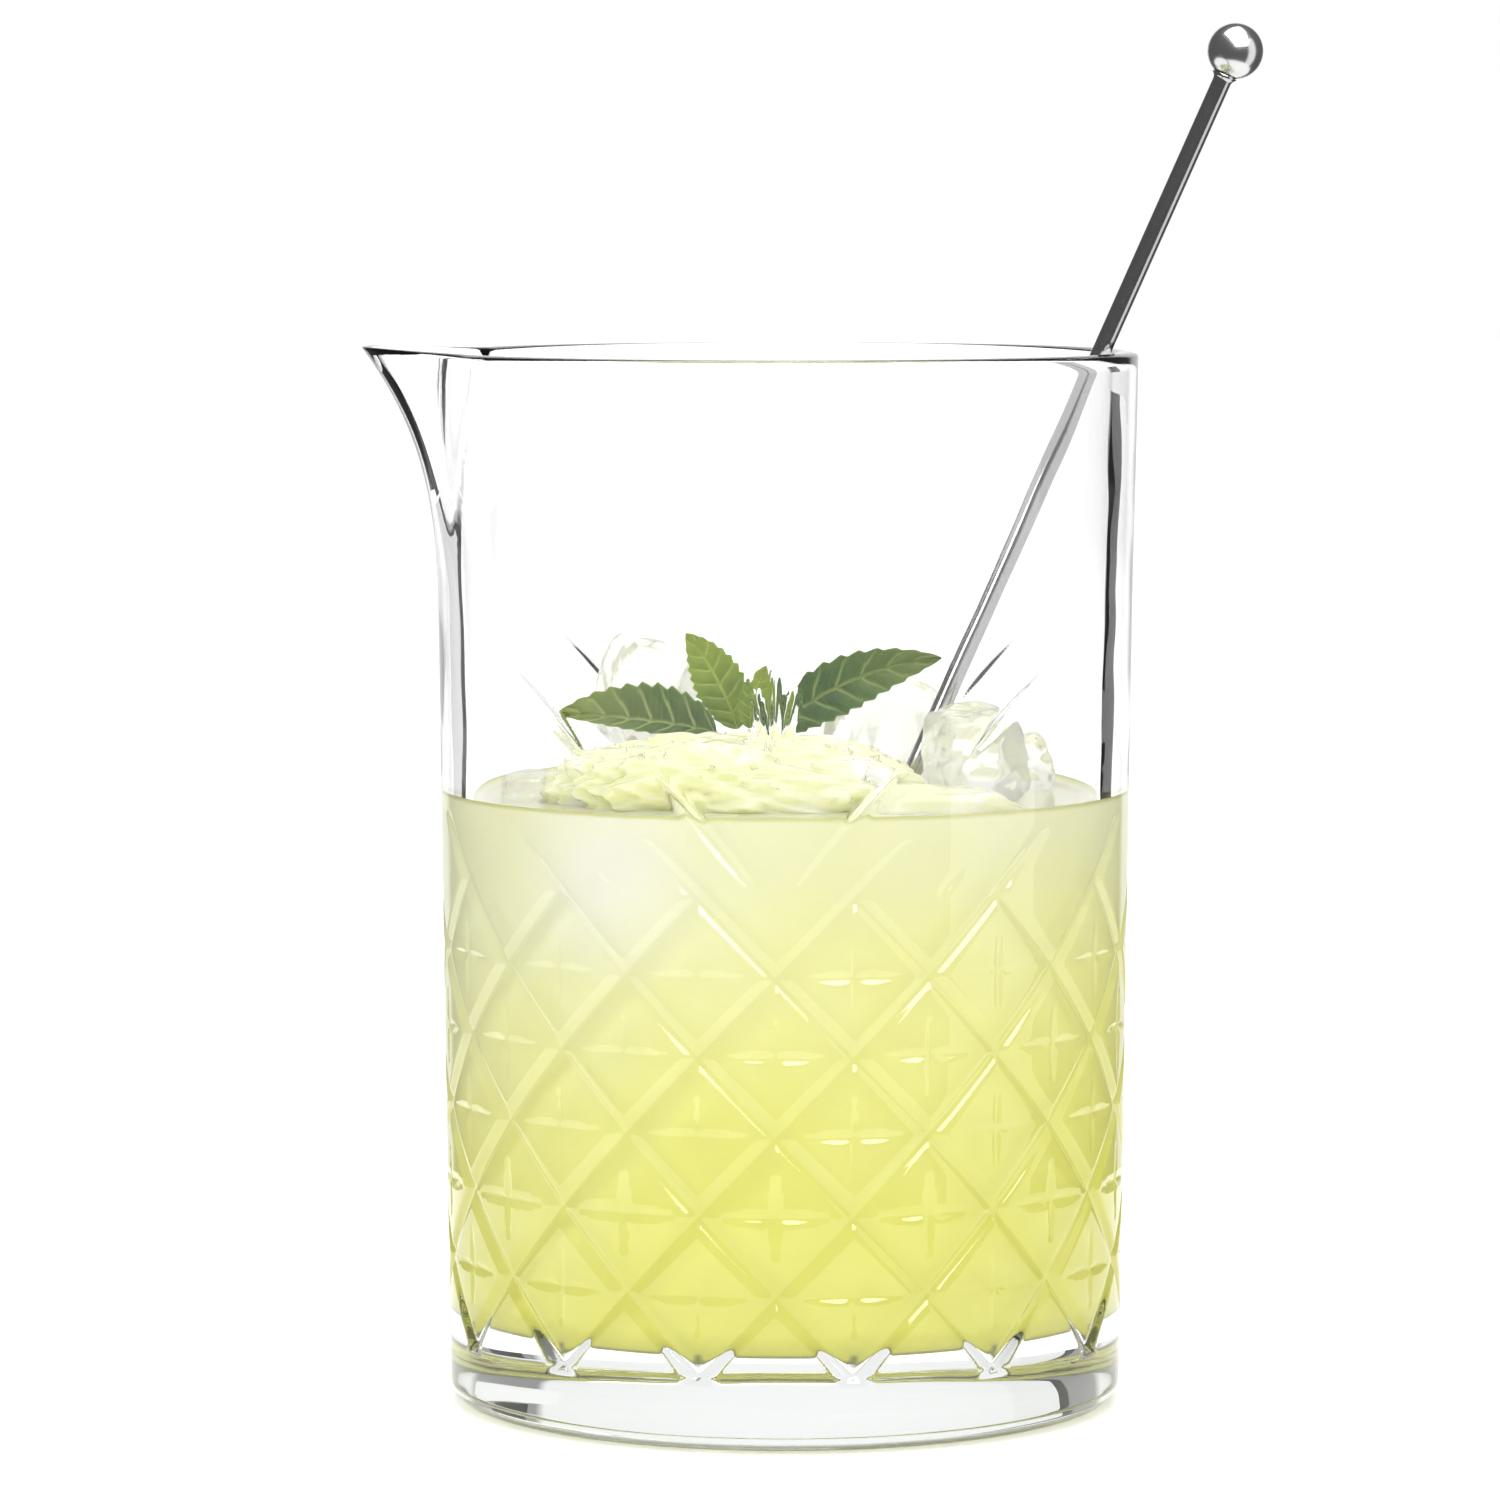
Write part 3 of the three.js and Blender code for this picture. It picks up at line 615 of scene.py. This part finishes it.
def leaf_mesh(points, facing, half_width, lower_share, veins=7, teeth=11, serration=0.14):
    """A serrated blade with a sunken midrib and side veins, whose lower half may be narrower.

    Returns its vertices and faces, then how much of a vein and how near the tip each vertex is."""
    rows, half = 150, 30
    t = np.linspace(0, 1, rows)
    s = np.linspace(-1, 1, 2 * half + 1)
    place, along = bezier(points, t)
    front = np.array(facing) / np.linalg.norm(facing)
    across = np.cross(along, front)
    across /= np.linalg.norm(across, axis=1)[:, None]
    up = np.cross(across, along)
    outline = np.maximum(np.sin(np.pi * t**0.8) ** 0.75, 0.05)
    tooth = np.mod(t * teeth, 1.0)
    tooth = np.where(tooth < 0.72, tooth / 0.72, (1 - tooth) / 0.28)
    outline = outline * (1 - serration * (1 - tooth) * np.clip(5 * t, 0, 1))
    T, S = np.meshgrid(t, s, indexing="ij")
    slant = np.mod(T * veins - 0.9 * np.abs(S) ** 1.1, 1.0)
    side_vein = np.exp(-((np.minimum(slant, 1 - slant) / 0.07) ** 2)) * (1 - np.abs(S) ** 4)
    midrib = np.exp(-((S / 0.06) ** 2))
    net = np.exp(-((np.abs(np.mod(slant * 4 + S * 3, 1) - 0.5) / 0.12) ** 2))
    margin = np.clip((np.abs(S) - 0.93) / 0.07, 0, 1)
    vein = np.clip(np.maximum(midrib, 0.8 * side_vein) + 0.1 * net + 0.5 * margin, 0, 1)
    quilt = 0.42 * np.sin(np.pi * slant) * (1 - S**2) - 0.35 * midrib
    fold = 0.24 * half_width * np.abs(S) ** 1.3 * outline[:, None]
    width_share = np.where(S < 0, lower_share, 1.0)
    reach = half_width * outline[:, None] * S * width_share
    lift = fold + quilt * half_width / 5
    top = place[:, None] + across[:, None] * reach[..., None] + up[:, None] * lift[..., None]
    thin = 0.32 * (1 - 0.7 * np.abs(S) ** 4)
    under = top - up[:, None] * thin[..., None]
    width = len(s)
    vertices = np.concatenate([top.reshape(-1, 3), under.reshape(-1, 3)])
    strength = np.concatenate([vein.reshape(-1), (0.5 + 0.5 * vein).reshape(-1)])
    near_tip = np.tile(smoothstep(T, 0.35, 1.0).reshape(-1), 2)
    count = rows * width

    def face(*places):
        """A face through places given as row, column and 0 on the upper side or 1 on the lower."""
        return [below * count + i * width + j for i, j, below in places]

    faces = []
    for i in range(rows - 1):
        for j in range(width - 1):
            faces.append(face((i, j + 1, 0), (i + 1, j + 1, 0), (i + 1, j, 0), (i, j, 0)))
            faces.append(face((i, j, 1), (i + 1, j, 1), (i + 1, j + 1, 1), (i, j + 1, 1)))
        for j, first, second in ((0, 0, 1), (width - 1, 1, 0)):
            faces.append(face((i, j, first), (i + 1, j, first), (i + 1, j, second), (i, j, second)))
    for j in range(width - 1):
        for i, first, second in ((0, j + 1, j), (rows - 1, j, j + 1)):
            faces.append(face((i, first, 0), (i, first, 1), (i, second, 1), (i, second, 0)))
    return vertices, faces, strength, near_tip


# Base, middle and tip of each leaf as shares of its box, the way that its upper side looks, its half
# width in millimetres, the share of that which its lower half has, and its finish.
LEAVES = {
    "mint_leaf_left": (
        ((0.99, 0.6, 0.12), (0.56, 0.6, 0.42), (0.01, 0.5, 0.46)), (0.1, -0.9, 0.5), 5.6, 0.45, "olive"
    ),
    "mint_leaf_upright": (
        ((0.82, 0.5, 0.02), (0.55, 0.5, 0.58), (0.03, 0.4, 0.99)), (-0.1, -1, 0.2), 3.9, 1.0, "light"
    ),
    "mint_leaf_small": (
        ((0.38, 0.6, 0.02), (0.42, 0.4, 0.56), (0.88, 0.2, 0.99)), (0.3, -1, 0.15), 2.5, 1.0, "light"
    ),
    "mint_leaf_right": (
        ((0.02, 0.6, 0.05), (0.41, 0.6, 0.74), (0.99, 0.45, 0.86)), (-0.15, -0.95, 0.4), 4.9, 0.8, "deep"
    ),
    "mint_leaf_bud": (
        ((0.3, 0.5, 0.05), (0.55, 0.5, 0.45), (0.9, 0.4, 0.97)), (0.2, -1, 0.3), 0.9, 1.0, "deep"
    ),
}

# Of each finish: two tones of the blade, the veins and the colour towards the tip.
FINISHES = {
    "deep": ((0.028, 0.072, 0.009), (0.055, 0.105, 0.016), (0.22, 0.28, 0.075), (0.11, 0.16, 0.025)),
    "olive": ((0.038, 0.080, 0.009), (0.070, 0.120, 0.018), (0.36, 0.42, 0.15), (0.19, 0.24, 0.045)),
    "light": ((0.120, 0.190, 0.014), (0.21, 0.29, 0.032), (0.38, 0.46, 0.09), (0.22, 0.29, 0.027)),
}


def add_mint():
    materials = {name: leaf_material("mint_" + name, *tones) for name, tones in FINISHES.items()}
    for name, (shares, facing, half_width, lower_share, finish) in LEAVES.items():
        low, high = (np.array(corner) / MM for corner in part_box(name))
        points = [low + (high - low) * np.array(share) for share in shares]
        vertices, faces, strength, near_tip = leaf_mesh(points, facing, half_width, lower_share)
        leaf = add_mesh(name + "_blade", vertices, faces, "sprig", (name,))
        for attribute, values in (("vein", strength), ("tip", near_tip)):
            leaf.data.attributes.new(attribute, "FLOAT", "POINT").data.foreach_set("value", values)
        leaf.data.materials.append(materials[finish])
    stem = frame["nodes"]["mint_stem"].data.materials
    stem.clear()
    stem.append(materials["light"])


# ---- Stirrer -------------------------------------------------------------------------------------


def turned_mesh(profile, foot, axis, columns=64):
    """A shape turned about an axis; the profile holds (radius, distance along the axis)."""
    axis = np.array(axis) / np.linalg.norm(axis)
    across = np.cross(axis, (0, 1, 0))
    across /= np.linalg.norm(across)
    over = np.cross(axis, across)
    turn = np.arange(columns) * 2 * np.pi / columns
    circle = np.cos(turn)[:, None] * across + np.sin(turn)[:, None] * over
    rings = [(foot + axis * h + circle * r).tolist() for r, h in profile[1:-1]]
    return skin(rings, (foot + axis * profile[0][1]).tolist(), (foot + axis * profile[-1][1]).tolist())


def add_stirrer():
    axis = np.array(next(j["axis"] for j in frame["joints"] if j["name"] == "stirrer_draw"))
    low, high = (np.array(corner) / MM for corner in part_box("stirrer_ball"))
    centre, radius = (low + high) / 2, float(high[2] - low[2]) / 2
    rod_low, rod_high = (np.array(corner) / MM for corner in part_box("stirrer_rod"))
    rod_radius = float(rod_high[1] - rod_low[1]) / 2
    length = (centre[2] - rod_low[2]) / axis[2] - rod_radius * math.tan(math.acos(axis[2]))
    foot = centre - axis * length
    rounding = np.radians((0, 20, 40, 60, 80, 90))
    tip = [(rod_radius * math.sin(a), rod_radius * (1 - math.cos(a))) for a in rounding]
    shaft = [(rod_radius, h) for h in np.linspace(3, length - radius - 0.6, 60)]
    neck = [(rod_radius + 0.15, length - radius - 0.2), (rod_radius + 0.55, length - radius + 0.25)]
    rod = add_mesh(
        "stirrer_shaft",
        *turned_mesh([*tip, *shaft, *neck, (0, length - radius + 0.6)], foot, axis),
        "stirrer",
        ("stirrer_rod",),
    )
    around = np.radians(np.linspace(0, 180, 65))
    ball_profile = [(radius * math.sin(a), length - radius * math.cos(a)) for a in around]
    knob = turned_mesh(ball_profile, foot, axis, 96)
    ball = add_mesh("stirrer_knob", *knob, "stirrer", ("stirrer_ball",))
    rod.data.materials.append(steel_material("drawn_steel", 0.5, (0.08, 0.2), 0.05))
    ball.data.materials.append(steel_material("polished_steel", 0.62, (0.16, 0.24), 0.01))


# ---- Camera, light and floor ---------------------------------------------------------------------

CAMERA_DISTANCE = 0.998
CAMERA_HEIGHT = 0.177
CAMERA_LENS = 168.2
CAMERA_PITCH = 4.81
CAMERA_YAW = 0.2876

WORLD_LEVEL = 1.0  # strength for light that arrives through glass or on dull surfaces
ROOM_LEVEL = 0.13  # strength that polished surfaces reflect, except from the lit backdrop
BACKDROP_FADE = (0.12, 0.52, 0.95)  # sideways, from and to where the backdrop dims, then its strength
CORNER_LEVEL = 0.28  # strength seen through one wall of glass towards the dark corners of the studio
ICE_BACKDROP = 0.95  # strength seen through ice as well as glass
CORNER_START = (0.55, 0.58)  # how far sideways a direction points where a corner begins
CORNER_END = (0.84, 0.88)  # and where it ends
BACKDROP_EDGE = (0.86, 0.92)  # cosine of the angle from straight behind the object
FLOOR_GLOW = 0.27
FLOOR_SIDES = 64
# Radius and height of the lit table, which is all that polished surfaces reflect, and of the floor.
GROUNDS = (("table", 0.24, -0.0002), ("floor", 6.0, -0.0006))
PANEL_AIM = (0, 0, 0.08)  # the point that every panel faces
# Panels that the camera doesn't see: size, place, strength and the kinds of ray that meet them.
PANELS = (
    ("softbox", (1.1, 1.85), (0.2, -0.42, 1.1), 10.0, ("glossy",)),
    ("side_strip", (0.65, 2.4), (1.0, -0.32, 0.0), 1.2, ("glossy",)),
    ("overhead_fill", (0.9, 1.5), (0.1, -0.5, 1.12), 2.0, ("diffuse", "transmission")),
    ("left_fill", (0.5, 0.6), (-0.9, -0.9, 0.55), 6.6, ("diffuse", "transmission")),
    ("right_fill", (0.5, 0.6), (1.05, -0.5, 0.55), 1.5, ("diffuse", "transmission")),
    ("back_fill", (0.8, 0.8), (0.2, 0.85, 1.05), 2.5, ("diffuse", "transmission")),
)
# Cards behind the object, most of them dark, which draw the lines along its edges: from and to in
# degrees from straight behind, lowest and highest edge, and strength.
CARD_DISTANCE = 0.6
WALL_CROSSINGS = 4  # surfaces of the glass on a way straight through both of its walls
CARDS = (
    ("card_right", 34.5, 45.0, 0.0, 0.108, 0.0),
    ("card_right_high", 28.0, 56.0, 0.108, 0.16, 1.0),
    ("card_left", -39.2, -28.0, 0.0, 0.5, 0.90),
    ("card_left_edge", -42.5, -39.2, 0.0, 0.5, 0.02),
)
FLOOR_CARD = (-43.5, -36.5, 0.2, 0.56)  # from and to in degrees, nearest and furthest
# A small black flag close behind the spout, which outlines it: x and z in millimetres.
FLAG_DEPTH = 0.014
FLAG = ((-66.5, 134), (-58, 141), (-56.5, 136), (-54.8, 131), (-54.2, 126), (-62, 124))


def add_camera():
    data = bpy.data.cameras.new("camera")
    data.sensor_width = 36.0
    data.lens = CAMERA_LENS
    camera = bpy.data.objects.new("camera", data)
    camera.location = (0, -CAMERA_DISTANCE, CAMERA_HEIGHT)
    camera.rotation_euler = Euler(np.radians((90 - CAMERA_PITCH, 0, CAMERA_YAW)))
    bpy.context.scene.collection.objects.link(camera)
    bpy.context.scene.camera = camera


def straight_through(tree, ray):
    """1 for a ray that went through both walls of the glass without being reflected in them."""
    walls = compare(tree, "GREATER_THAN", ray.outputs["Transmission Depth"], WALL_CROSSINGS - 1)
    plain = compare(tree, "LESS_THAN", ray.outputs["Glossy Depth"], 1)
    return product(tree, walls, plain)


def stage_mesh(name, corners, strength, rays, edges_only=False):
    """A flat glowing polygon that only the given kinds of ray meet.

    With edges_only, rays that went straight through the glass miss it too."""
    mesh = bpy.data.meshes.new(name)
    mesh.from_pydata(corners, [], [tuple(range(len(corners)))])
    panel = bpy.data.objects.new(name, mesh)
    panel.visible_camera = False
    panel.visible_shadow = False
    panel.visible_diffuse = "diffuse" in rays
    panel.visible_glossy = "glossy" in rays
    panel.visible_transmission = "transmission" in rays
    bpy.context.scene.collection.objects.link(panel)
    material = bpy.data.materials.new(name)
    material.use_nodes = True
    tree = material.node_tree
    tree.nodes.clear()
    light = node(tree, "ShaderNodeEmission", Color=(1, 1, 1, 1), Strength=strength).outputs[0]
    if edges_only:
        straight = straight_through(tree, node(tree, "ShaderNodeLightPath"))
        clear = node(tree, "ShaderNodeBsdfTransparent").outputs[0]
        light = node(tree, "ShaderNodeMixShader", {0: straight, 1: light, 2: clear}).outputs[0]
    node(tree, "ShaderNodeOutputMaterial", {"Surface": light})
    mesh.materials.append(material)
    return panel


def add_panel(name, size, place, strength, rays):
    w, h = size[0] / 2, size[1] / 2
    panel = stage_mesh(name, [(-w, -h, 0), (w, -h, 0), (w, h, 0), (-w, h, 0)], strength, rays)
    panel.location = place
    panel.rotation_euler = (Vector(PANEL_AIM) - Vector(place)).to_track_quat("Z", "Y").to_euler()


def add_card(name, start, end, low, high, strength):
    turns = [math.radians(start), math.radians(end)]
    (x0, y0), (x1, y1) = [(CARD_DISTANCE * math.sin(t), CARD_DISTANCE * math.cos(t)) for t in turns]
    corners = [(x0, y0, low), (x1, y1, low), (x1, y1, high), (x0, y0, high)]
    stage_mesh(name, corners, strength, ("transmission",), edges_only=True)


def add_floor_card(start, end, near, far):
    turns = [math.radians(start), math.radians(end)]
    ends = [(math.sin(t), math.cos(t)) for t in turns]
    corners = [(near * x, near * y, MM) for x, y in ends]
    corners += [(far * x, far * y, MM) for x, y in reversed(ends)]
    stage_mesh("card_floor", corners, 0.0, ("transmission",), edges_only=True)


def add_floor():
    """A lit table with the same floor all round it."""
    material, _, shader = new_material("floor", Base_Color=(0.9, 0.9, 0.9, 1), Roughness=0.6)
    shader.inputs["Specular IOR Level"].default_value = 0.0
    shader.inputs["Emission Color"].default_value = (1, 1, 1, 1)
    shader.inputs["Emission Strength"].default_value = FLOOR_GLOW
    for name, reach, level in GROUNDS:
        turns = np.arange(FLOOR_SIDES) * 2 * np.pi / FLOOR_SIDES
        edge = [(reach * math.cos(t), reach * math.sin(t), 0) for t in turns]
        mesh = bpy.data.meshes.new(name)
        mesh.from_pydata(edge, [], [tuple(range(FLOOR_SIDES))])
        mesh.materials.append(material)
        ground = bpy.data.objects.new(name, mesh)
        ground.location.z = level
        ground.visible_glossy = name == "table"
        bpy.context.scene.collection.objects.link(ground)


def add_world():
    """A white studio whose dark corners show where one wall of glass bends the view to them.

    Polished surfaces reflect a dim room with a lit backdrop instead."""
    world = bpy.data.worlds.new("studio")
    bpy.context.scene.world = world
    world.use_nodes = True
    tree = world.node_tree
    background = tree.nodes["Background"]
    background.inputs["Color"].default_value = (1, 1, 1, 1)
    direction = node(tree, "ShaderNodeTexCoord").outputs["Generated"]
    split = node(tree, "ShaderNodeSeparateXYZ", {"Vector": direction})
    room = node(tree, "ShaderNodeMapRange", {"Value": split.outputs["Y"]})
    room.interpolation_type = "SMOOTHSTEP"
    room.inputs["From Min"].default_value, room.inputs["From Max"].default_value = BACKDROP_EDGE
    room.inputs["To Min"].default_value = ROOM_LEVEL
    room.inputs["To Max"].default_value = WORLD_LEVEL
    ray = node(tree, "ShaderNodeLightPath")
    crossings = ray.outputs["Transmission Depth"]
    sideways = node(tree, "ShaderNodeMath", {0: split.outputs["X"]}, operation="ABSOLUTE").outputs[0]
    fade = level_of(tree, sideways, *BACKDROP_FADE[:2])
    backdrop = mix_value(tree, fade, WORLD_LEVEL, BACKDROP_FADE[2])
    dark = mix_value(tree, level_of(tree, sideways, *CORNER_START), backdrop, CORNER_LEVEL)
    corners = mix_value(tree, level_of(tree, sideways, *CORNER_END), dark, WORLD_LEVEL)
    corners = mix_value(tree, straight_through(tree, ray), corners, backdrop)
    through_ice = compare(tree, "GREATER_THAN", crossings, WALL_CROSSINGS)
    corners = mix_value(tree, through_ice, corners, ICE_BACKDROP)
    seen = mix_value(tree, ray.outputs["Is Transmission Ray"], WORLD_LEVEL, corners)
    both_walls = compare(tree, "COMPARE", crossings, WALL_CROSSINGS)
    reflected = compare(tree, "GREATER_THAN", ray.outputs["Glossy Depth"], 0)
    inside = product(tree, both_walls, reflected)
    outside = product(tree, compare(tree, "LESS_THAN", crossings, 1), ray.outputs["Is Glossy Ray"])
    dim = node(tree, "ShaderNodeMath", {0: inside, 1: outside}, operation="MAXIMUM").outputs[0]
    level = mix_value(tree, dim, seen, room.outputs["Result"])
    tree.links.new(level, background.inputs["Strength"])


def add_light():
    add_world()
    for panel in PANELS:
        add_panel(*panel)
    for card in CARDS:
        add_card(*card)
    add_floor_card(*FLOOR_CARD)
    flag = [(x * MM, FLAG_DEPTH, z * MM) for x, z in FLAG]
    stage_mesh("flag", flag, 0.0, ("transmission",), edges_only=True)
    bpy.context.scene.view_settings.view_transform = "Standard"


# ---- Assembly ------------------------------------------------------------------------------------

glass = add_mesh("glass_cut", *glass_mesh(), "glass", ("glass_body",))
glass.data.materials.append(glass_material())
drink = add_mesh("drink_filled", *drink_mesh(), "contents", ("drink",))
drink.data.materials.append(drink_material())
add_ice(ice_material("clear_ice", 0.78), ice_material("flaked_ice", 0.9), slush_material())
add_mint()
add_stirrer()
add_camera()
add_floor()
add_light()
